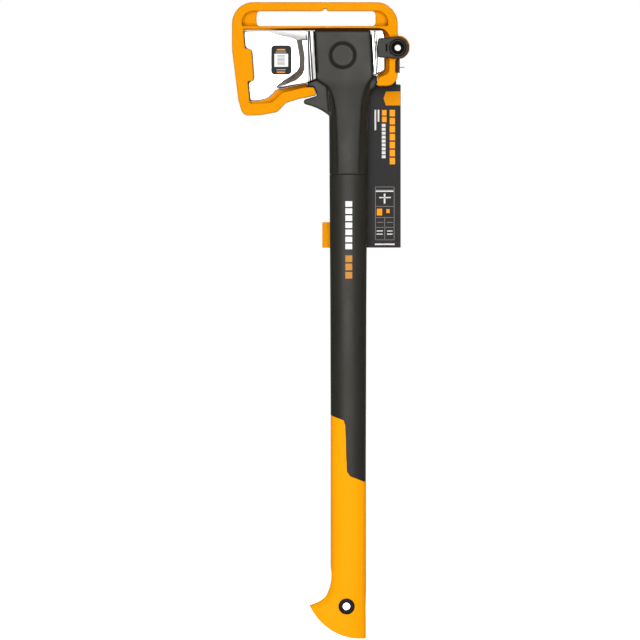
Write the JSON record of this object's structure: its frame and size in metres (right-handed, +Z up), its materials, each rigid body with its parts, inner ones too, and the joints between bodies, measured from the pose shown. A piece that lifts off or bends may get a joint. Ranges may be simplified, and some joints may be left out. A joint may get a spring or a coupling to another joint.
{
  "type": "splitting axe",
  "caption": "Long-handled splitting axe with a hollow two-tone handle, carried in a moulded blade cover with a carry bar, turn latch and blank hang tag.",
  "frame": {"origin": "crown of the hanging notch on the underside of the cover's carry bar, midway through the cover's depth", "axes": "+Z up along the handle towards the carry bar, -X towards the cutting edge, +X towards the poll, Y across the thickness with the latch and label facing -Y"},
  "size_m": [0.2151, 0.0522, 0.77],
  "materials": {
    "polished_steel": "satin polish",
    "pin_steel": "plain",
    "black_nylon": "fine moulded grain",
    "latch_nylon": "fine moulded grain",
    "seal_rubber": "matte",
    "foam": "closed-cell foam",
    "orange_nylon": "satin moulded",
    "orange_soft_grip": "soft-touch",
    "black_bush": "semi gloss",
    "label_film": "printed film",
    "label_white": "printed film",
    "black_card": "coated card",
    "orange_card": "coated card",
    "orange_tie": "translucent nylon"
  },
  "bodies": {
    "axe_in_cover": {"axe_head": "polished_steel", "head_housing": "black_nylon", "head_lock_pin": "pin_steel", "pin_cap_front": "black_nylon", "pin_cap_back": "black_nylon", "pin_ring_front": "seal_rubber", "pin_ring_back": "seal_rubber", "handle_shaft": "black_nylon", "foam_core": "foam", "grip_tube": "orange_nylon", "lower_grip": "orange_soft_grip", "butt_plug": "orange_nylon", "lanyard_bush": "black_bush", "blade_label": "label_film", "label_panel": "label_white", "cover_frame": "orange_nylon", "latch_rivet": "black_bush", "latch_detent_leaf": "latch_nylon", "tag_tie": "orange_tie"},
    "latch": {"latch": "latch_nylon"},
    "tag": {"tag_card": "black_card", "tag_tab": "orange_card", "tag_badge": "orange_card"}
  },
  "joints": [
    {"name": "latch_turn", "type": "hinge", "parent": "axe_in_cover", "child": "latch", "pos_m": [0.0877, -0.0225, -0.0482], "axis": [0, 1, 0], "range_deg": [0, 110]},
    {"name": "tag_swing", "type": "hinge", "parent": "axe_in_cover", "child": "tag", "pos_m": [0.08, 0.0237, -0.084], "axis": [1, 0, 0], "range_deg": [0, 45]}
  ]
}
